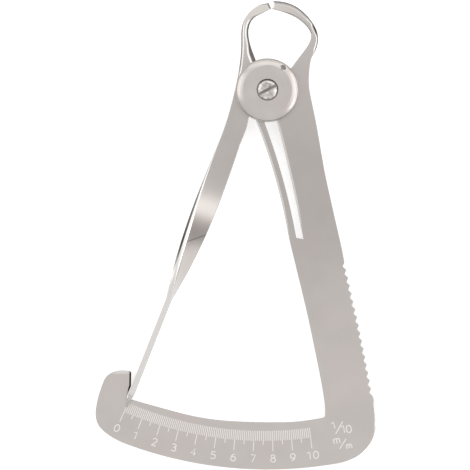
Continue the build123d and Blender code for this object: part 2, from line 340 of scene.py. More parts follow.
def outlinesOf(node, height, up):
    # closed outlines of a CAD node's flat face, with the metal on the left, the longest first
    work = bmesh.new()
    work.from_mesh(frame["nodes"][node].data)
    bmesh.ops.remove_doubles(work, verts=work.verts, dist=weld["packed"])
    work.normal_update()
    flat = {f for f in work.faces
            if f.normal.z * up > square["exactly"]
            and abs(f.calc_center_median().z - height) < weld["parts"]}
    following = {}
    for face in flat:
        for loop in face.loops:
            if not any(other in flat for other in loop.edge.link_faces if other is not face):
                start, end = loop.vert, loop.link_loop_next.vert
                if up < 0:
                    start, end = end, start
                following[start] = end
    outlines = []
    while following:
        start = next(iter(following))
        outline = []
        here = start
        while here in following:
            outline.append(here.co.xy.copy())
            here = following.pop(here)
        outlines.append(outline)
    work.free()
    return sorted(outlines, key=len, reverse=True)


def turnAt(before, here, after):
    first, second = here - before, after - here
    return abs(math.atan2(first.x * second.y - first.y * second.x, first.dot(second)))


# turns in degrees that make a corner, the second one only where its round would rise more than this;
# and the length of a bend's parts
bends = {"sharp": 42, "turned": 14, "rise": 0.1 * mm, "step": 0.45 * mm}


def isCornerAt(before, here, after):
    # a facet of a bend turns little, or is so short that its turn still draws a round
    turn = turnAt(before, here, after)
    rise = min((here - before).length, (after - here).length) / 2 * math.tan(turn / 4)
    return turn > math.radians(bends["sharp"]) or (
        turn > math.radians(bends["turned"]) and rise > bends["rise"])


def smoothed(outline):
    # points added along the bends between corners, so that no facet shows
    count = len(outline)
    isCorner = [isCornerAt(outline[i - 1], outline[i], outline[(i + 1) % count]) for i in range(count)]
    points = []
    for i in range(count):
        p0, p1, p2, p3 = (outline[(i + k) % count] for k in (-1, 0, 1, 2))
        length = (p2 - p1).length
        # tangents from a circle-like average, and along the chord at a corner
        start, end = p2 - p1, p2 - p1
        if not isCorner[i]:
            start = (p2 - p0) * length / ((p1 - p0).length + length)
        if not isCorner[(i + 1) % count]:
            end = (p3 - p1) * length / ((p3 - p2).length + length)
        parts = max(1, math.ceil(length / bends["step"]))
        for k in range(parts):
            s = k / parts
            points.append(p1 * (2 * s**3 - 3 * s**2 + 1) + start * (s**3 - 2 * s**2 + s)
                          + p2 * (3 * s**2 - 2 * s**3) + end * (s**3 - s**2))
    return points


def leftOf(start, end):
    way = (end - start).normalized()
    return Vector((-way.y, way.x))


# rows of an edge, from its flat face to its wall
edgeSteps = 5
# a hand bevel's upper lip: slope in degrees, most share of the depth, share of the painted shade; and the
# share of the width over which its facets run into each other
facets = {"slope": 25, "depth": 0.8, "dark": 0.3, "round": 0.04}
# sine of a turn that counts as none, most rounds of drawing together, what is left of the plate
# between front and rear bevel, and the least area of a triangle
rim = {"straight": 0.12, "pulls": 60, "room": 0.1 * mm, "speck": 1e-16}


def edgeRing(k, width, depth, dark, bevel, lip):
    # how far in, how far down and how much painted shade a row of the edge takes: between a round and two
    # facets
    t = math.pi / 2 * k / edgeSteps
    soft = facets["round"]
    across = (0.0, soft, lip - soft, lip + soft, 1 - soft, 1.0)[k]
    lipDrop = min(lip * width * math.tan(math.radians(facets["slope"])), facets["depth"] * depth)
    if across < lip:
        drop = lipDrop * across / lip
    else:
        drop = lipDrop + (depth - lipDrop) * (across - lip) / (1 - lip)
    return (width * ((1 - bevel) * (1 - math.sin(t)) + bevel * (1 - across)),
            (1 - bevel) * depth * (1 - math.cos(t)) + bevel * drop,
            dark * ((1 - bevel) * math.sin(t) + bevel * (1 if across > lip else facets["dark"])))


def plateWithRolledEdge(outlines, low, high, edgeOf):
    # rings run down the rounded edge, the wall and the lower round; flat faces close both sides
    # edgeOf gives the edge's width and depth, how dark the cut is painted as shade, how far it is
    # bevelled and its lip
    work = bmesh.new()
    shade = work.verts.layers.float.new("edgeShade")
    capTop, capLow = [], []
    for outline in outlines:
        count = len(outline)
        sides = []
        for i in range(count):
            a, b = outline[i], outline[(i + 1) % count]
            sides.append((leftOf(a, b), *edgeOf((a + b) / 2, leftOf(a, b))))
        inset = []
        for i in range(count):
            (n0, w0, *_), (n1, w1, *_) = sides[i - 1], sides[i]
            cross = n0.x * n1.y - n0.y * n1.x
            if abs(cross) < rim["straight"]:
                inset.append((n0 + n1).normalized() * (w0 + w1) / 2)
            else:
                inset.append(Vector((w0 * n1.y - w1 * n0.y, w1 * n0.x - w0 * n1.x)) / cross)
        # where a bend is tighter than the edge is wide, the inner line is drawn together to a point
        for again in range(rim["pulls"]):
            crossed = []
            for i in range(count):
                j = (i + 1) % count
                if (outline[j] + inset[j] - outline[i] - inset[i]).dot(outline[j] - outline[i]) < 0:
                    crossed.append((i, j))
            for i, j in crossed:
                meet = (outline[i] + inset[i] + outline[j] + inset[j]) / 2
                inset[i], inset[j] = meet - outline[i], meet - outline[j]
            if not crossed:
                break
        rings = []
        for side, level in ((1, high), (-1, low)):
            for k in range(edgeSteps + 1)[::side]:
                ring = []
                for i in range(count):
                    edge = [(a + b) / 2 for a, b in zip(sides[i - 1][1:], sides[i][1:])]
                    inward, drop, dark = edgeRing(k, *edge)
                    if side < 0 and edge[1] > 0:
                        # a deep bevel on the front leaves less room for the one behind it
                        drop *= min(1, (high - low - edge[1] - rim["room"]) / edge[1])
                    p = outline[i] + inset[i] * (inward / edge[0] if edge[0] else 0)
                    vertex = work.verts.new((p.x, p.y, level - side * drop))
                    vertex[shade] = dark
                    ring.append(vertex)
                rings.append(ring)
        for upper, lower in zip(rings, rings[1:]):
            for i in range(count):
                j = (i + 1) % count
                corners = [upper[i], lower[i], lower[j], upper[j]]
                if len({tuple(round(x / mm, 5) for x in v.co) for v in corners}) == 4:
                    work.faces.new(corners).material_index = 1
        capTop.append(rings[0])
        capLow.append(rings[-1])
    for cap, up in ((capTop, 1), (capLow, -1)):
        flat = [v for ring in cap for v in ring]
        for triangle in tessellate_polygon([[v.co.xy.to_3d() for v in ring] for ring in cap]):
            a, b, c = (flat[i] for i in triangle)
            area = (b.co - a.co).xy.cross((c.co - a.co).xy)
            if abs(area) > rim["speck"]:
                work.faces.new([a, b, c] if area * up > 0 else [a, c, b]).material_index = 0
        for ring in cap:
            for i, vertex in enumerate(ring):
                edge = work.edges.get((vertex, ring[(i + 1) % len(ring)]))
                if edge:
                    edge.smooth = False
    return work


def closed(work):
    # slivers left where a bend is tight, and the ends where two pieces part, get faces
    bmesh.ops.remove_doubles(work, verts=work.verts, dist=weld["parts"])
    openEdges = [e for e in work.edges if e.is_boundary]
    for face in bmesh.ops.holes_fill(work, edges=openEdges, sides=0)["faces"]:
        face.normal_update()
        face.material_index = 0 if abs(face.normal.z) > square["mostly"] else 1
        if not all(e.is_contiguous for e in face.edges):
            face.normal_flip()


def keptSharp(mesh):
    # sharp where the shape turns, and where a flat face ends and its round starts
    work = bmesh.new()
    work.from_mesh(mesh)
    closed(work)
    work.to_mesh(mesh)
    work.free()
    shadeByAngle(mesh, sharpTurn["stamped"])
    work = bmesh.new()
    work.from_mesh(mesh)
    for edge in work.edges:
        if len({f.material_index for f in edge.link_faces}) > 1:
            edge.smooth = False
    work.to_mesh(mesh)
    work.free()


def circle(radius, height, steps):
    turns = [2 * math.pi * i / steps for i in range(steps)]
    return [(radius * math.cos(turn), radius * math.sin(turn), height) for turn in turns]


def roundBar(radius, low, high, steps=96):
    work = bmesh.new()
    base, top = ([work.verts.new(p) for p in circle(radius, z, steps)] for z in (low, high))
    for i in range(steps):
        j = (i + 1) % steps
        work.faces.new([base[i], base[j], top[j], top[i]])
    work.faces.new(top)
    work.faces.new(base[::-1])
    return meshOf("cutter", work)


def carver(name, work, steels):
    # a cutter whose cut shows the second of the piece's steels
    mesh = meshOf(name, work)
    for steel in steels:
        mesh.materials.append(steel)
    mesh.polygons.foreach_set("material_index", [1] * len(mesh.polygons))
    return mesh


def cutWith(piece, mesh):
    cutter = addObject("cutter", mesh)
    cut = piece.modifiers.new("cut", "BOOLEAN")
    cut.operation = "DIFFERENCE"
    cut.solver = "EXACT"
    cut.object = cutter
    appliedMesh(piece)
    bpy.data.objects.remove(cutter)


def turnedShape(profile, steps=160):
    # a closed round piece from its half section, given as radius and height pairs from axis to axis
    work = bmesh.new()
    points = [work.verts.new((r, 0, z)) for r, z in profile]
    edges = [work.edges.new(pair) for pair in zip(points, points[1:])]
    bmesh.ops.spin(work, geom=points + edges, cent=(0, 0, 0), axis=(0, 0, 1),
                   angle=2 * math.pi, steps=steps, use_merge=True)
    bmesh.ops.remove_doubles(work, verts=work.verts, dist=weld["cut"])
    bmesh.ops.recalc_face_normals(work, faces=work.faces)
    return work


def roundedCorner(corner, before, after, radius, steps=4):
    # arc-like bend of a section at one corner
    corner, before, after = Vector(corner), Vector(before), Vector(after)
    a = corner + (before - corner).normalized() * radius
    b = corner + (after - corner).normalized() * radius
    return [tuple(a * (1 - s)**2 + corner * 2 * s * (1 - s) + b * s**2)
            for s in (k / steps for k in range(steps + 1))]


def softSection(points, radius):
    # the section with every inner corner rounded
    section = [points[0]]
    for before, here, after in zip(points, points[1:], points[2:]):
        section += roundedCorner(here, before, after, radius)
    return section + [points[-1]]


# scale arm with its leaf

# the rolled edge elsewhere: width, depth, painted shade on its cut wall, no bevel, and its lip
armEdge = {"width": 0.09 * mm, "depth": 0.12 * mm, "dark": 0.65, "bevel": 0.0, "lip": 0.5}
# where the finisher filed a bevel by hand, and painted shade darkens it: its middle, its reach, the way
# to the metal, its width and depth, all in mm, how dark the lower facet is painted, and the share of the
# width that the bright lip takes
bevelsWithPaintedShade = [
    # right jaw, outside: bright band with a thin rim of painted shade, then a patch of painted shade at
    # its widest bend
    ((5.5, 18.6), 8.5, (-0.5, -1.0), 0.85, 0.55, 0.8, 0.7),
    ((11.0, 12.9), 2.8, (-1.0, -0.2), 0.8, 0.6, 1.0, 0.45),
    ((6.8, 13.6), 6.5, (0.5, 1.0), 0.4, 0.28, 0.25, 0.12),
    ((11.3, 10.3), 3.0, (-1.0, 0.3), 0.5, 0.32, 0.4, 0.5),
    # left jaw: bevel darkened by painted shade inside, widest near the disc, and a pale one outside
    ((-4.2, 11.0), 8.0, (-1.0, 0.0), 0.7, 0.5, 0.7, 0.5),
    ((-2.4, 5.6), 5.6, (-1.0, -0.3), 1.3, 0.9, 0.7, 0.36),
    ((-5.9, 9.0), 9.0, (1.0, -0.1), 0.6, 0.4, 0.45, 0.55),
    # the two tips' faces
    ((-0.6, 18.6), 2.4, (-1.0, -0.35), 0.55, 0.36, 0.4, 0.12),
    ((0.7, 18.9), 1.7, (1.0, 0.3), 0.5, 0.16, 0.0, 0.9),
    # stop hook: inner side darkened by painted shade, pale top; the heel's pale right side
    ((-30.2, -64.4), 4.0, (-1.0, -0.3), 0.4, 0.4, 1.0, 0.12),
    ((-32.4, -62.3), 2.4, (0.0, -1.0), 0.7, 0.18, 0.3, 0.9),
    ((24.2, -72.2), 4.2, (-1.0, 0.0), 0.3, 0.1, 0.6, 0.8),
    # the left sides of the leaf and of the arm beside it
    ((1.5, -18.0), 17.0, (1.0, 0.2), 0.42, 0.1, 0.3, 0.85),
    # thumb grip: filed from the front at a slant, its facets darkened by painted shade
    ((21.5, -56.0), 14.0, (-1.0, -0.3), 0.2, 0.3, 0.45, 0.12),
]


# a bevel grows this many times faster than its nearness, and fades where its edge turns off its way
bevelled = {"grow": 1.8, "facing": 0.3}


def edgeAt(place, way):
    edge = [armEdge[part] for part in ("width", "depth", "dark", "bevel", "lip")]
    for at, reach, inward, width, depth, dark, lip in bevelsWithPaintedShade:
        near = 1 - (place / mm - Vector(at)).length / reach
        facing = way.dot(Vector(inward).normalized()) - bevelled["facing"]
        if near > 0 and facing > 0:
            share = eased(min(1, bevelled["grow"] * near)) * min(1, facing / bevelled["facing"])
            wanted = (width * mm, depth * mm, dark, 1.0, lip)
            edge = [value + share * (goal - value) for value, goal in zip(edge, wanted)]
    return edge


leafRoot = Vector(next(j["pos_m"] for j in frame["joints"] if j["name"] == "leaf_flex")).xy
leafSizes = {
    "seat": 0.84 * mm, "bend": 140 * mm, "halfWidth": 0.78 * mm, "tip": Vector((-2.25, -5.2)) * mm,
    "capDepth": 0.02 * mm,
    # half widths beside its line and past its tip within which a face is the leaf's
    "besideLine": 1.9, "pastTip": 2,
}
lapSizes = {"radius": 3.55 * mm, "gap": 0.025 * mm}
# the stretch of the outline that the thumb grip takes, its points' least turn and their farthest pitch
gripTeeth = {"right": 15 * mm, "low": -68.3 * mm, "high": -37.8 * mm, "turn": 50, "pitch": 2.5 * mm}


def openedWhere(points, isOut):
    # an outline without the unbroken run for which isOut holds, in order from where that run ends
    count = len(points)
    first = next(i for i in range(count) if isOut(points[i]) and not isOut(points[i - 1]))
    turned = points[first:] + points[:first]
    return turned[next(i for i in range(count) if not isOut(turned[i])):]


def notched(outline):
    # the thumb grip's teeth are cut with a three-cornered file: straight sides from point to valley
    count = len(outline)
    grip = gripTeeth
    points = [i for i, p in enumerate(outline)
              if p.x > grip["right"] and grip["low"] < p.y < grip["high"]
              and turnAt(outline[i - 1], p, outline[(i + 1) % count]) > math.radians(grip["turn"])]
    dropped = set()
    for a, b in zip(points, points[1:]):
        side = outline[b] - outline[a]
        if 0 < side.length < grip["pitch"]:
            valley = max(range(a + 1, b), key=lambda i: (outline[i] - outline[a]).cross(side) ** 2)
            dropped.update(i for i in range(a + 1, b) if i != valley)
    return [p for i, p in enumerate(outline) if i not in dropped]


def scaleAndLeaf():
    outlines = outlinesOf("scale_arm", plateLow, -1)
    leafOutline = outlinesOf("leaf_spring", plateHigh, 1)[0]
    chord = leafSizes["tip"] - leafRoot
    middle = (leafRoot + leafSizes["tip"]) / 2
    right = Vector((chord.y, -chord.x)).normalized()
    centre = middle - right * math.sqrt(leafSizes["bend"]**2 - chord.length_squared / 4)
    # the leaf's own direction at its root, square to its bend
    axis = (leafRoot - centre).orthogonal().normalized()
    if axis.dot(chord) < 0:
        axis = -axis
    rest = openedWhere(outlines[0], lambda p: (p - leafRoot).length < leafSizes["seat"])
    strip = openedWhere(leafOutline, lambda p: (p - leafRoot).dot(axis) < -leafSizes["capDepth"])
    outlines[0] = notched(rest + strip)
    outlines = [smoothed(outline) for outline in outlines]
    work = plateWithRolledEdge(outlines, plateLow, plateHigh, edgeAt)
    # the leaf is parted along its root line
    partAlong(work, leafRoot.to_3d(), axis.to_3d())
    besideLine = leafSizes["besideLine"] * leafSizes["halfWidth"]
    farthest = chord.length + leafSizes["pastTip"] * leafSizes["halfWidth"]
    ofLeaf = []
    for face in work.faces:
        place = face.calc_center_median().xy
        fromRoot = place - leafRoot
        ofLeaf.append(abs((place - centre).length - leafSizes["bend"]) < besideLine
                      and fromRoot.dot(axis) > 0 and fromRoot.length < farthest)
    leafWork = work.copy()
    for part, wanted in ((work, False), (leafWork, True)):
        part.faces.ensure_lookup_table()
        dropped = [f for f, isLeaf in zip(part.faces, ofLeaf) if isLeaf != wanted]
        bmesh.ops.delete(part, geom=dropped, context="FACES")
    return work, leafWork, axis


scaleWork, leafWork, leafAxis = scaleAndLeaf()
plateSteels = [sheetSteel, edgeSteel]
scaleArm = finishedMesh("scaleArm", scaleWork, plateSteels, None)
cutWith(scaleArm, roundBar(lapSizes["radius"], plateMid - lapSizes["gap"], plateHigh + mm))
keptSharp(scaleArm.data)
dressed(scaleArm, plateSteels, "frame")
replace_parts(scaleArm, "scale_arm")

leafStrip = finishedMesh("leafStrip", leafWork, plateSteels, None)
keptSharp(leafStrip.data)
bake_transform(leafStrip)
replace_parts(leafStrip, "leaf_spring")
print("scale arm and leaf made")


# pointer arm: stamped flat, its strip turned a quarter, its blade forked and pointed

pointer = {
    "zeroAngle": math.radians(24), "reach": 77 * mm, "offset": 3.2 * mm,
    "startWidth": 4.6 * mm, "endWidth": 5.7 * mm, "widenPower": 0.55, "thickness": plateHigh - plateLow,
    "twistStart": 13.3 * mm, "twistEnd": 51.3 * mm, "power": 1.45, "shift": 0.295 * mm, "rows": 120,
    "edge": 0.13 * mm, "wideWidth": 0.48 * mm, "wideDepth": 0.72 * mm, "joint": 0.6 * mm,
    "cutBack": 0.01 * mm, "easeOver": 4 * mm, "seam": 0.006 * mm,
}
lean = pointer["zeroAngle"] - math.asin(pointer["offset"] / pointer["reach"])
downArm = Vector((-math.sin(lean), -math.cos(lean), 0))
leftArm = Vector((-math.cos(lean), math.sin(lean), 0))
armFoot = leftArm * pointer["offset"]


def twistTree():
    # turns a flat strip about its own line, slowly at first, and widens it towards its end
    tree, given = startTree("quarterTwist", {
        "Geometry": "Geometry", "Foot": "Vector", "Down": "Vector", "Left": "Vector", "Start": "Float",
        "End": "Float", "Power": "Float", "Turn": "Float", "Widening": "Float", "Widen Power": "Float",
        "Shift": "Float", "Middle": "Float", "Face": "Material", "Edge": "Material"})
    position = addNode(tree, "GeometryNodeInputPosition")[0]
    fromFoot = addNode(tree, "ShaderNodeVectorMath", {0: position, 1: given["Foot"]},
                       operation="SUBTRACT")[0]
    along, across = (addNode(tree, "ShaderNodeVectorMath", {0: fromFoot, 1: given[way]},
                             operation="DOT_PRODUCT")["Value"] for way in ("Down", "Left"))
    share = addNode(tree, "ShaderNodeMapRange", {
        "Value": along, "From Min": given["Start"], "From Max": given["End"]})[0]
    turned, widened = (addNode(tree, "ShaderNodeMath", {0: share, 1: given[power]},
                               operation="POWER")[0] for power in ("Power", "Widen Power"))
    angle = addNode(tree, "ShaderNodeMath", {0: turned, 1: given["Turn"]}, operation="MULTIPLY")[0]
    growth = addNode(tree, "ShaderNodeMath", {0: widened, 1: given["Widening"], 2: 1.0},
                     operation="MULTIPLY_ADD")[0]
    wide = addNode(tree, "ShaderNodeMath", {0: across, 1: growth}, operation="MULTIPLY")[0]
    # the strip starts a little left of its line and comes back to it
    toGo = addNode(tree, "ShaderNodeMath", {0: 1.0, 1: share}, operation="SUBTRACT")[0]
    cubed = addNode(tree, "ShaderNodeMath", {0: toGo, 1: 3.0}, operation="POWER")[0]
    aside = addNode(tree, "ShaderNodeMath", {0: cubed, 1: given["Shift"]}, operation="MULTIPLY")[0]
    downLine, sideways, shifted = (
        addNode(tree, "ShaderNodeVectorMath", {0: given[way], "Scale": amount},
                operation="SCALE")[0]
        for way, amount in (("Down", along), ("Left", wide), ("Left", aside)))
    height = addNode(tree, "ShaderNodeSeparateXYZ", {0: fromFoot})["Z"]
    up = addNode(tree, "ShaderNodeMath", {0: height, 1: given["Middle"]}, operation="SUBTRACT")[0]
    upright = addNode(tree, "ShaderNodeCombineXYZ", {"Z": up})[0]
    section = addNode(tree, "ShaderNodeVectorMath", {0: sideways, 1: upright}, operation="ADD")[0]
    place = addNode(tree, "ShaderNodeVectorRotate", {
        "Vector": section, "Axis": given["Down"], "Angle": angle}, invert=True)[0]
    level = addNode(tree, "ShaderNodeCombineXYZ", {"Z": given["Middle"]})[0]
    for part in (given["Foot"], downLine, shifted, level):
        place = addNode(tree, "ShaderNodeVectorMath", {0: place, 1: part}, operation="ADD")[0]
    moved = addNode(tree, "GeometryNodeSetPosition", {"Geometry": given["Geometry"], "Position": place})
    result = addNode(tree, "GeometryNodeRealizeInstances", {"Geometry": moved[0]})
    index = addNode(tree, "GeometryNodeInputMaterialIndex")[0]
    for name, comparison in (("Face", "EQUAL"), ("Edge", "GREATER_THAN")):
        chosen = addNode(tree, "FunctionNodeCompare", {"A": index}, data_type="INT",
                         operation=comparison)
        result = addNode(tree, "GeometryNodeSetMaterial", {
            "Geometry": result[0], "Material": given[name], "Selection": chosen["Result"]})
    addNode(tree, "NodeGroupOutput", {0: result[0]})
    return tree


# where the twist's edge changes its shape and its painted shade and highlight, in shares of the twist's
# length
twistLooks = {
    # the ground edge widens over the first share and narrows over the last
    "grow": 0.75, "shrink": 0.22,
    # painted shade makes the cut dark between two places, and darkens and fades beside them
    "darkFrom": 0.08, "darken": 0.3, "darkTo": 0.86, "fade": 0.2, "dark": 0.95, "wallFall": 8,
    # a painted highlight makes the ground edge bright until the blade's own grey edge takes over
    "brighten": 0.3, "greyFrom": 0.72, "greyOver": 0.15,
    # a painted dark line runs along the last part
    "lineFrom": 0.66, "lineOver": 0.08, "line": 0.45,
}


def flatStrip():
    # the strip before it is turned: rings round a section whose front left edge is ground wider
    looks = twistLooks
    work = bmesh.new()
    shade = work.verts.layers.float.new("edgeShade")
    halfWidth, rows = pointer["startWidth"] / 2, pointer["rows"]
    rings = []
    for n in range(rows + 1):
        share = n / rows
        ground = eased(ramp(share, looks["grow"]) * ramp(1 - share, looks["shrink"]))
        darkness = (ramp(share - looks["darkFrom"], looks["darken"])
                    * ramp(looks["darkTo"] - share, looks["fade"]))
        along = pointer["twistStart"] + share * (pointer["twistEnd"] - pointer["twistStart"])
        start = armFoot + downArm * along
        cut = armEdge["dark"] * (1 - darkness) * (1 - share) + looks["dark"] * darkness
        # near the end the grey comes in from the face's side
        grey = max(0, (share - looks["greyFrom"]) / looks["greyOver"])
        darkLine = looks["line"] * ramp(share - looks["lineFrom"], looks["lineOver"])
        ring = []
        for side, face in ((1, 1), (-1, 1), (-1, -1), (1, -1)):
            isGround = side == face
            width = depth = pointer["edge"]
            if isGround:
                width += ground * (pointer["wideWidth"] - width)
                depth += ground * (pointer["wideDepth"] - depth)
            for k in range(edgeSteps + 1)[::-side * face]:
                t = math.pi / 2 * k / edgeSteps
                across = side * (halfWidth - width * (1 - math.sin(t)))
                z = plateMid + face * (pointer["thickness"] / 2 - depth * (1 - math.cos(t)))
                vertex = work.verts.new(start + leftArm * across + Vector((0, 0, z)))
                # painted shade on the cut wall, a painted highlight on the ground edge, and a painted
                # dark line beside it
                wall = math.sin(t) ** looks["wallFall"]
                bright = ramp(share, looks["brighten"]) * ramp(1 + 4 * (k / edgeSteps - grey), 1)
                line = darkLine * max(0, 1 - 2 * k / edgeSteps)
                vertex[shade] = cut * wall + (line - bright * (1 - wall) if isGround else 0)
                ring.append(vertex)
        rings.append(ring)
    count = len(rings[0])
    for upper, lower in zip(rings, rings[1:]):
        for i in range(count):
            j = (i + 1) % count
            onFace = (i + 1) % (2 * (edgeSteps + 1)) == edgeSteps + 1
            face = work.faces.new([upper[i], upper[j], lower[j], lower[i]])
            face.material_index = 0 if onFace else 1
    bmesh.ops.recalc_face_normals(work, faces=work.faces)
    return work


# the blade's rounding, and the turns in degrees that it rounds and that count as flat
bladeEdge = {"width": 0.06 * mm, "segments": 3, "corner": 25, "flatWithin": 0.5}


def forkedBlade():
    # the blade's flat faces as packed, from the twist's end to the point, with small round edges
    work = bmesh.new()
    work.from_mesh(frame["nodes"]["pointer_arm"].data)
    bmesh.ops.remove_doubles(work, verts=work.verts, dist=weld["packed"])
    start = armFoot + downArm * (pointer["twistEnd"] + pointer["joint"])
    partAlong(work, start, downArm, clear_inner=True)
    bmesh.ops.dissolve_limit(work, angle_limit=math.radians(bladeEdge["flatWithin"]), verts=work.verts,
                             edges=work.edges)
    for face in work.faces:
        face.material_index = 1 if abs(face.normal.z) > square["partly"] else 0
    mesh = meshOf("bladeBlank", work)
    for steel in plateSteels:
        mesh.materials.append(steel)
    blade = addObject("bladeBlank", mesh)
    rounding = blade.modifiers.new("rounding", "BEVEL")
    rounding.width = bladeEdge["width"]
    rounding.segments = bladeEdge["segments"]
    rounding.limit_method = "ANGLE"
    rounding.angle_limit = math.radians(bladeEdge["corner"])
    rounding.material = 1
    return appliedMesh(blade)


def pointerArmPiece():
    outlines = [smoothed(outline) for outline in outlinesOf("pointer_arm", plateHigh, 1)]
    cutLine = pointer["twistStart"] - pointer["cutBack"]

    def edgeOfArm(place, way):
        along = (place.to_3d() - armFoot).dot(downArm)
        if along > cutLine:
            return 0.0, 0.0, 0.0, 0.0, 0.5
        near = max(0, 1 - (cutLine - along) / pointer["easeOver"])
        goals = (pointer["edge"], pointer["edge"], armEdge["dark"], 0.0, 0.5)
        return [value + near * (goal - value) for value, goal in zip(edgeAt(place, way), goals)]

    plate = finishedMesh("pointerArm", plateWithRolledEdge(outlines, plateLow, plateHigh, edgeOfArm),
                         plateSteels, None)
    cutWith(plate, roundBar(lapSizes["radius"], plateLow - mm, plateMid + lapSizes["gap"]))

    strip = finishedMesh("twistedStrip", flatStrip(), plateSteels, None)
    turn = strip.modifiers.new("twist", "NODES")
    turn.node_group = twistTree()
    giveInputs(turn, {"Foot": armFoot, "Down": downArm, "Left": leftArm, "Start": pointer["twistStart"],
                      "End": pointer["twistEnd"], "Power": pointer["power"], "Turn": math.pi / 2,
                      "Widening": pointer["endWidth"] / pointer["startWidth"] - 1,
                      "Widen Power": pointer["widenPower"], "Shift": pointer["shift"],
                      "Middle": plateMid, "Face": sheetSteel, "Edge": edgeSteel})
    appliedMesh(strip)
    blade = forkedBlade()

    work = bmesh.new()
    for part in (plate, strip, blade):
        work.from_mesh(part.data)
    # the plate's end wall inside the strip goes, so that the three run on as one
    cutPoint = armFoot + downArm * pointer["twistStart"]
    walls = [f for f in work.faces if abs(f.normal.dot(downArm)) > square["nearly"]
             and abs((f.calc_center_median() - cutPoint).dot(downArm)) < 2 * pointer["cutBack"]]
    bmesh.ops.delete(work, geom=walls, context="FACES")
    bmesh.ops.remove_doubles(work, verts=work.verts, dist=pointer["seam"])
    # the twist's last ring and the blade's first are joined
    joint = pointer["joint"]
    middle = pointer["twistEnd"] + joint / 2
    ends = [e for e in work.edges if e.is_boundary
            and all(abs((v.co - armFoot).dot(downArm) - middle) < joint for v in e.verts)]
    joined = set(bmesh.ops.bridge_loops(work, edges=ends)["faces"])
    for face in joined:
        beside = [f for e in face.edges for f in e.link_faces if f not in joined]
        face.material_index = beside[0].material_index
    bmesh.ops.recalc_face_normals(work, faces=list(joined))
    work.to_mesh(plate.data)
    work.free()
    for part in (strip, blade):
        bpy.data.objects.remove(part)
    keptSharp(plate.data)
    return dressed(plate, plateSteels, "pointer")


pointerArm = pointerArmPiece()
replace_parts(pointerArm, "pointer_arm")
print("pointer arm made")


# pivot discs, screw, washer and pin

disc = {"radius": 7.0 * mm, "flat": 5.4 * mm, "shoulder": 6.15 * mm, "shoulderDrop": 0.25 * mm,
        "rim": 6.78 * mm, "rimDrop": 0.57 * mm, "bevel": 0.77 * mm, "edge": 0.1 * mm, "bore": 2.4 * mm,
        "boreDepth": 1.5 * mm, "shank": 1.3 * mm, "pinGap": 0.03 * mm}
# the dimple that the locating pin is sunk in
dimple = {"radius": 0.78 * mm, "depth": 0.16 * mm, "steps": 48}
screw = {"head": 2.24 * mm, "shank": 1.25 * mm, "dome": 0.5 * mm, "height": 1.3 * mm, "rim": 0.03 * mm,
         "edge": 0.04 * mm, "steps": 96, "slotWidth": 0.62 * mm, "slotDepth": 0.75 * mm, "slotTurn": 27}


def discSection(top, base, hole):
    # from the hole's wall at the base, out and round the rim to the top face
    sign = 1 if top > base else -1
    return [
        (hole, base), (disc["radius"], base), (disc["radius"], top - sign * disc["bevel"]),
        (disc["rim"], top - sign * disc["rimDrop"]),
        (disc["shoulder"], top - sign * disc["shoulderDrop"]), (disc["flat"], top),
    ]


def frontDisc():
    base, seat, shank = plateHigh + pivotGap, topOfTool - disc["boreDepth"], disc["shank"]
    section = softSection(
        discSection(topOfTool, base, shank)
        + [(disc["bore"], topOfTool), (disc["bore"], seat), (shank, seat)], disc["edge"])
    steels = [discSteel, paintedShadeSteel]
    piece = finishedMesh("frontDisc", turnedShape(section + [section[0]]), steels, None,
                         sharpTurn["turned"])
    low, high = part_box("disc_pin")
    away = Vector(((low.x + high.x) / 2, (low.y + high.y) / 2, 0))
    hole = roundBar((high.x - low.x) / 2 + disc["pinGap"], base - mm, topOfTool + mm, dimple["steps"])
    hole.transform(Matrix.Translation(away))
    cutWith(piece, hole)
    radius, depth = dimple["radius"], dimple["depth"]
    bowlSection = [(0.0, -depth), (0.4 * radius, -0.8 * depth), (radius, 0.0), (1.5 * radius, depth),
                   (0.0, depth)]
    bowl = carver("dimple", turnedShape(bowlSection, dimple["steps"]), steels)
    # the dimple stands square to the bevel
    fall = math.atan2(disc["shoulderDrop"], disc["shoulder"] - disc["flat"])
    drop = (away.length - disc["flat"]) * math.tan(fall)
    bowl.transform(Matrix.Rotation(fall, 4, Vector((0, 0, 1)).cross(away).normalized()))
    bowl.transform(Matrix.Translation(away + Vector((0, 0, topOfTool - drop))))
    cutWith(piece, bowl)
    shadeByAngle(piece.data, sharpTurn["turned"])
    return dressed(piece, steels, "frame")


def rearDisc():
    section = softSection(discSection(0.0, plateLow - pivotGap, 0.0) + [(0.0, 0.0)], disc["edge"])
    return finishedMesh("rearDisc", turnedShape(section), [discSteel], "frame",
                        sharpTurn["turned"])


def pivotScrew():
    low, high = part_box("pivot_screw")
    seat = high.z - screw["height"]
    head, shank = screw["head"], screw["shank"]
    crown = [(head * s, high.z - screw["dome"] * s**2) for s in (0.97, 0.85, 0.7, 0.5, 0.3, 0.15)]
    section = [(0.0, low.z)] + softSection(
        [(0.0, low.z), (shank, low.z), (shank, seat), (head, seat),
         (head, high.z - screw["dome"] - screw["rim"]), crown[0]], screw["edge"])[1:]
    steels = [screwSteel, sawnAndShadedSteel]
    piece = finishedMesh("pivotScrew", turnedShape(section + crown + [(0.0, high.z)], screw["steps"]),
                         steels, None, sharpTurn["turned"])
    slotBox = bmesh.new()
    bmesh.ops.create_cube(slotBox, size=1)
    slot = carver("slot", slotBox, steels)
    slot.transform(Matrix.Diagonal((3 * head, screw["slotWidth"], 2 * screw["slotDepth"], 1)))
    slot.transform(Matrix.Rotation(math.radians(screw["slotTurn"]), 4, "Z"))
    slot.transform(Matrix.Translation((0, 0, high.z)))
    cutWith(piece, slot)
    shadeByAngle(piece.data, sharpTurn["turned"])
    return dressed(piece, steels, "frame")


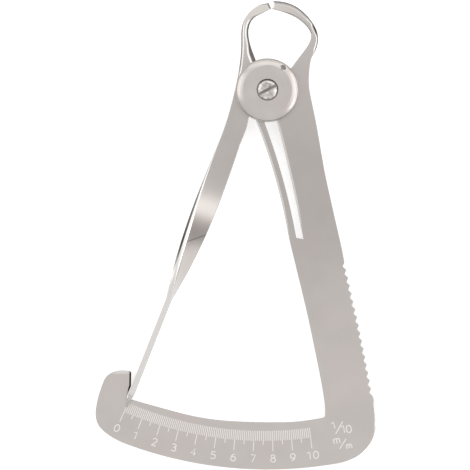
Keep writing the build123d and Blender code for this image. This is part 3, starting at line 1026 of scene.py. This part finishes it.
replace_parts(frontDisc(), "front_disc")
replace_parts(rearDisc(), "rear_disc")
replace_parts(pivotScrew(), "pivot_screw")
for node, steel in (("pivot_bush", screwSteel), ("spring_washer", screwSteel), ("disc_pin", sawnAndShadedSteel)):
    frame["nodes"][node].data.materials.clear()
    frame["nodes"][node].data.materials.append(steel)
print("pivot made")


# graduation: 101 etched marks, evenly turned, each unit a little nearer the pivot than the one before

marks = {"Count": 101, "Units": 10.0, "Unit Turn": math.radians(3.11),
         "Zero Angle": -pointer["zeroAngle"], "Drift": 0.045 * mm, "Inner": 75.5 * mm, "Fine": 77.72 * mm,
         "Half": 78.6 * mm, "Unit": 80.07 * mm, "Width": 0.18 * mm, "Height": 0.012 * mm,
         "Face": plateHigh}


def graduationTree():
    kinds = {name: "Int" if name == "Count" else "Float" for name in marks}
    tree, given = startTree("graduation", {**kinds, "Finish": "Material"})
    index = addNode(tree, "GeometryNodeInputIndex")[0]
    reading = addNode(tree, "ShaderNodeMath", {0: index, 1: 10.0}, operation="DIVIDE")[0]
    angle = addNode(tree, "ShaderNodeMath", {0: reading, 1: given["Unit Turn"], 2: given["Zero Angle"]},
                    operation="MULTIPLY_ADD")[0]
    # every fifth mark is longer, and every tenth the longest
    outer = given["Fine"]
    for every, longer in ((5.0, given["Half"]), (10.0, given["Unit"])):
        over = addNode(tree, "ShaderNodeMath", {0: index, 1: every}, operation="MODULO")[0]
        isOne = addNode(tree, "ShaderNodeMath", {0: over, 1: 0.0, 2: 0.5}, operation="COMPARE")[0]
        outer = addNode(tree, "ShaderNodeMix", {"Factor": isOne, "A": outer, "B": longer},
                        data_type="FLOAT")["Result"]
    length = addNode(tree, "ShaderNodeMath", {0: outer, 1: given["Inner"]}, operation="SUBTRACT")[0]
    toGo = addNode(tree, "ShaderNodeMath", {0: given["Units"], 1: reading}, operation="SUBTRACT")[0]
    further = addNode(tree, "ShaderNodeMath", {0: toGo, 1: given["Drift"]}, operation="MULTIPLY")[0]
    ends = addNode(tree, "ShaderNodeMath", {0: given["Inner"], 1: outer}, operation="ADD")[0]
    below = addNode(tree, "ShaderNodeMath", {0: ends, 1: -0.5}, operation="MULTIPLY")[0]
    middle = addNode(tree, "ShaderNodeMath", {0: below, 1: further}, operation="SUBTRACT")[0]
    onFace = addNode(tree, "ShaderNodeCombineXYZ", {"Y": middle, "Z": given["Face"]})[0]
    place = addNode(tree, "ShaderNodeVectorRotate", {"Vector": onFace, "Angle": angle},
                    rotation_type="Z_AXIS")[0]
    points = addNode(tree, "GeometryNodeMeshLine", {"Count": given["Count"]})[0]
    placedPoints = addNode(tree, "GeometryNodeSetPosition", {"Geometry": points, "Position": place})
    size = addNode(tree, "ShaderNodeCombineXYZ", {
        "X": given["Width"], "Y": length, "Z": given["Height"]})
    turned = addNode(tree, "ShaderNodeCombineXYZ", {"Z": angle})
    bar = addNode(tree, "GeometryNodeMeshCube", {"Size": (1, 1, 1)})
    copies = addNode(tree, "GeometryNodeInstanceOnPoints", {
        "Points": placedPoints[0], "Instance": bar[0], "Scale": size[0],
        "Rotation": turned[0]})
    real = addNode(tree, "GeometryNodeRealizeInstances", {"Geometry": copies[0]})
    finish = addNode(tree, "GeometryNodeSetMaterial", {
        "Geometry": real[0], "Material": given["Finish"]})
    addNode(tree, "NodeGroupOutput", {0: finish[0]})
    return tree


def graduationPiece():
    piece = addObject("graduation", bpy.data.meshes.new("graduation"))
    lines = piece.modifiers.new("marks", "NODES")
    lines.node_group = graduationTree()
    giveInputs(lines, {**marks, "Finish": markWhite})
    appliedMesh(piece)
    return dressed(piece, [markWhite], "frame")


graduationPiece()
print("graduation made")


# numbers, in single strokes as an engraver's stencil draws them

# strokes on a grid 0.62 wide and 1 high; a stroke is a list of points, smooth where it says so
glyphs = {
    "0": [("smooth loop", [(0.31, 1), (0.06, 0.78), (0.02, 0.5), (0.06, 0.22), (0.31, 0), (0.56, 0.22),
                           (0.6, 0.5), (0.56, 0.78)])],
    "1": [("straight", [(0.06, 0.86), (0.36, 1), (0.36, 0)])],
    "2": [("smooth", [(0.06, 0.8), (0.14, 0.95), (0.31, 1), (0.5, 0.94), (0.56, 0.74), (0.46, 0.5),
                      (0.24, 0.24), (0.04, 0)]), ("straight", [(0.04, 0), (0.6, 0)])],
    "3": [("smooth", [(0.06, 0.86), (0.18, 0.98), (0.36, 0.98), (0.52, 0.86), (0.5, 0.64),
                      (0.26, 0.54)]),
          ("smooth", [(0.26, 0.54), (0.52, 0.46), (0.58, 0.24), (0.44, 0.03), (0.22, 0), (0.04, 0.12)])],
    "4": [("straight", [(0.44, 0), (0.44, 1), (0.02, 0.3), (0.62, 0.3)])],
    "5": [("straight", [(0.54, 1), (0.12, 1), (0.08, 0.56)]),
          ("smooth", [(0.08, 0.56), (0.24, 0.62), (0.44, 0.58), (0.58, 0.4), (0.54, 0.14), (0.36, 0),
                      (0.16, 0.01), (0.03, 0.12)])],
    "6": [("smooth", [(0.5, 0.98), (0.28, 0.86), (0.1, 0.6), (0.04, 0.3)]),
          ("smooth loop", [(0.04, 0.3), (0.12, 0.54), (0.32, 0.6), (0.52, 0.52), (0.6, 0.3), (0.5, 0.07),
                           (0.32, 0), (0.13, 0.07)])],
    "7": [("straight", [(0.04, 1), (0.58, 1), (0.22, 0)])],
    "8": [("smooth loop", [(0.31, 1), (0.12, 0.92), (0.1, 0.7), (0.31, 0.55), (0.52, 0.7), (0.5, 0.92)]),
          ("smooth loop", [(0.31, 0.55), (0.08, 0.44), (0.03, 0.24), (0.14, 0.04), (0.31, 0),
                           (0.48, 0.04), (0.59, 0.24), (0.54, 0.44)])],
    "m": [("straight", [(0.04, 0), (0.04, 0.62)]),
          ("smooth", [(0.04, 0.42), (0.14, 0.58), (0.28, 0.6), (0.36, 0.42)]),
          ("straight", [(0.36, 0.42), (0.36, 0)]),
          ("smooth", [(0.36, 0.42), (0.46, 0.58), (0.6, 0.6), (0.68, 0.42)]),
          ("straight", [(0.68, 0.42), (0.68, 0)])],
}
glyphs["9"] = [(kind, [(0.62 - x, 1 - y) for x, y in points]) for kind, points in glyphs["6"]]

lettering = {"height": 1.58 * mm, "width": 1.15, "stroke": 0.27 * mm, "advance": 0.78,
             "proud": 0.012 * mm, "radius": 81.65 * mm,
             "middle": (0.31, 0.5), "unitMiddle": (0.36, 0.31)}
# the legend under the last marks: sign, middle, height and turn of each, set like two fractions
legend = [("1", (14.75, -74.4), 1.42, 17), ("1", (16.92, -75.26), 1.6, 10),
          ("0", (18.07, -75.19), 1.6, 8), ("m", (15.4, -77.85), 1.75, 10),
          ("m", (18.15, -79.05), 1.5, 12)]
legendBars = [((16.75, -73.5), (15.15, -76.3)), ((17.45, -77.4), (16.05, -79.6))]


def strokesOf(text, place, turn, height):
    # every stroke of a word as points in the plate's plane, the word centred at its place
    wide, tall = lettering["unitMiddle" if text == "m" else "middle"]
    middle = (len(text) - 1) * lettering["advance"] / 2 + wide
    strokes = []
    for n, character in enumerate(text):
        for kind, points in glyphs[character]:
            moved = []
            for x, y in points:
                x += n * lettering["advance"] - middle
                p = Vector((x * lettering["width"], y - tall)) * height
                moved.append(Vector((p.x * math.cos(turn) - p.y * math.sin(turn),
                                     p.x * math.sin(turn) + p.y * math.cos(turn))) + place)
            strokes.append((kind, moved))
    return strokes


def strokedPiece(name, strokes):
    curve = bpy.data.curves.new(name, "CURVE")
    curve.dimensions = "3D"
    curve.bevel_depth = lettering["stroke"] / 2
    curve.bevel_resolution = 2
    curve.use_fill_caps = True
    for kind, points in strokes:
        spline = curve.splines.new("BEZIER")
        spline.bezier_points.add(len(points) - 1)
        spline.use_cyclic_u = "loop" in kind
        spline.resolution_u = 8 if "smooth" in kind else 1
        for knot, p in zip(spline.bezier_points, points):
            knot.co = p.to_3d()
            knot.handle_left_type = knot.handle_right_type = "AUTO" if "smooth" in kind else "VECTOR"
    drawn = addObject(name, curve)
    mesh = evaluatedMesh(drawn)
    bpy.data.objects.remove(drawn)
    # the round strokes are pressed flat onto the plate's face
    mesh.transform(Matrix.Diagonal((1, 1, 2 * lettering["proud"] / lettering["stroke"], 1)))
    mesh.transform(Matrix.Translation((0, 0, plateHigh)))
    return dressed(addObject(name, mesh), [markWhite], "frame")


numberStrokes = []
for unit in range(11):
    markAngle = unit * marks["Unit Turn"] + marks["Zero Angle"]
    numberRadius = lettering["radius"] + (marks["Units"] - unit) * marks["Drift"]
    spot = Vector((math.sin(markAngle), -math.cos(markAngle))) * numberRadius
    numberStrokes += strokesOf(str(unit), spot, markAngle, lettering["height"])
strokedPiece("scaleNumbers", numberStrokes)
legendStrokes = [("straight", [Vector(end) * mm for end in bar]) for bar in legendBars]
for sign, middle, height, turn in legend:
    legendStrokes += strokesOf(sign, Vector(middle) * mm, math.radians(turn), height * mm)
strokedPiece("unitLegend", legendStrokes)
print("numbers made")


# floor, light and camera

def seenDirectly(tree):
    # 1 for rays from the camera and for what metal or glass mirrors
    path = addNode(tree, "ShaderNodeLightPath")
    seen = path["Is Camera Ray"]
    for ray in ("Is Glossy Ray", "Is Transmission Ray"):
        seen = addNode(tree, "ShaderNodeMath", {0: seen, 1: path[ray]}, operation="MAXIMUM")[0]
    return seen


def plainPiece(name, corners, material):
    mesh = bpy.data.meshes.new(name)
    mesh.from_pydata(corners, [], [tuple(range(len(corners)))])
    mesh.materials.append(material)
    piece = addObject(name, mesh)
    piece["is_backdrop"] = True
    return piece


def whitePaper():
    # seamless white card, lifted to white for the camera and still dimmed by shadow
    material, tree, shader = startMaterial("whitePaper")
    setInputs(tree, shader, {"Base Color": toLinear("#F2F2F2"), "Roughness": 0.9})
    glow = addNode(tree, "ShaderNodeEmission", {"Strength": 0.52})[0]
    both = addNode(tree, "ShaderNodeAddShader", {0: shader.outputs[0], 1: glow})[0]
    lifted = addNode(tree, "ShaderNodeMixShader", {
        "Fac": seenDirectly(tree), 1: shader.outputs[0], 2: both})[0]
    setInputs(tree, tree.nodes["Material Output"], {"Surface": lifted})
    return material


studio = {"floor": 3.0, "cardRadius": 1.2, "cardHeight": 0.69, "cardSides": 48,
          "lampDistance": 0.6, "lampCentre": (0, -0.02, 0)}
far = studio["floor"]
plainPiece("floor", [(-far, -far, 0), (far, -far, 0), (far, far, 0), (-far, far, 0)], whitePaper())

world = bpy.data.worlds.new("studio")
bpy.context.scene.world = world
world.use_nodes = True
skyTree = world.node_tree
skyGlow = addNode(skyTree, "ShaderNodeMapRange", {"Value": seenDirectly(skyTree), "To Min": 0.75})[0]
setInputs(skyTree, skyTree.nodes["Background"], {"Color": (1, 1, 1, 1), "Strength": skyGlow})


def cardRing():
    # dark cards round the set, out of shot: the metal mirrors them as the dark line on its edges
    material, tree, shader = startMaterial("darkCard")
    place = addNode(tree, "ShaderNodeTexCoord")["Object"]
    height = addNode(tree, "ShaderNodeSeparateXYZ", {"Vector": place})["Z"]
    fade = addNode(tree, "ShaderNodeMapRange", {
        "Value": height, "From Max": studio["cardHeight"], "To Min": 0.5, "To Max": 0.78})[0]
    glow = addNode(tree, "ShaderNodeEmission", {"Color": toLinear("#F4F2F0"), "Strength": fade})[0]
    setInputs(tree, tree.nodes["Material Output"], {"Surface": glow})
    count = studio["cardSides"]
    points = [p for z in (0.0, studio["cardHeight"]) for p in circle(studio["cardRadius"], z, count)]
    mesh = bpy.data.meshes.new("darkCards")
    mesh.from_pydata(points, [], [(i, (i + 1) % count, count + (i + 1) % count, count + i)
                                  for i in range(count)])
    mesh.materials.append(material)
    ring = addObject("darkCards", mesh)
    ring.visible_camera = ring.visible_diffuse = ring.visible_shadow = False
    ring.visible_transmission = False
    ring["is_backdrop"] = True


def softLamp(name, azimuth, elevation, size, brightness):
    lamp = bpy.data.lights.new(name, "AREA")
    lamp.shape = "RECTANGLE"
    lamp.size, lamp.size_y = size
    # a lamp of brightness 1 looks as bright as white paper in full light
    lamp.energy = brightness * math.pi * size[0] * size[1]
    a, e = math.radians(azimuth), math.radians(elevation)
    way = Vector((math.cos(a) * math.cos(e), math.sin(a) * math.cos(e), math.sin(e)))
    lampObject = addObject(name, lamp)
    lampObject.location = way * studio["lampDistance"] + Vector(studio["lampCentre"])
    lampObject.rotation_euler = way.to_track_quat("Z", "Y").to_euler()


cardRing()
softLamp("rightBox", azimuth=3, elevation=43, size=(0.72, 0.21), brightness=1.4)
softLamp("leftBox", azimuth=165, elevation=42, size=(0.4, 0.22), brightness=1.0)
softLamp("topBox", azimuth=88, elevation=42, size=(0.75, 0.22), brightness=0.65)

view = {"centre": (-7.18, -32.13), "distance": 600.0, "width": 104.44, "sensor": 36, "clip": (0.01, 20)}
camera = bpy.data.cameras.new("camera")
camera.sensor_width = view["sensor"]
camera.lens = camera.sensor_width * view["distance"] / view["width"]
camera.clip_start, camera.clip_end = view["clip"]
cameraObject = addObject("camera", camera)
cameraObject.location = (*(c * mm for c in view["centre"]), plateMid + view["distance"] * mm)
bpy.context.scene.camera = cameraObject
bpy.context.scene.view_settings.view_transform = "Standard"

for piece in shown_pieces():
    print(piece.name, len(piece.data.polygons), "faces")
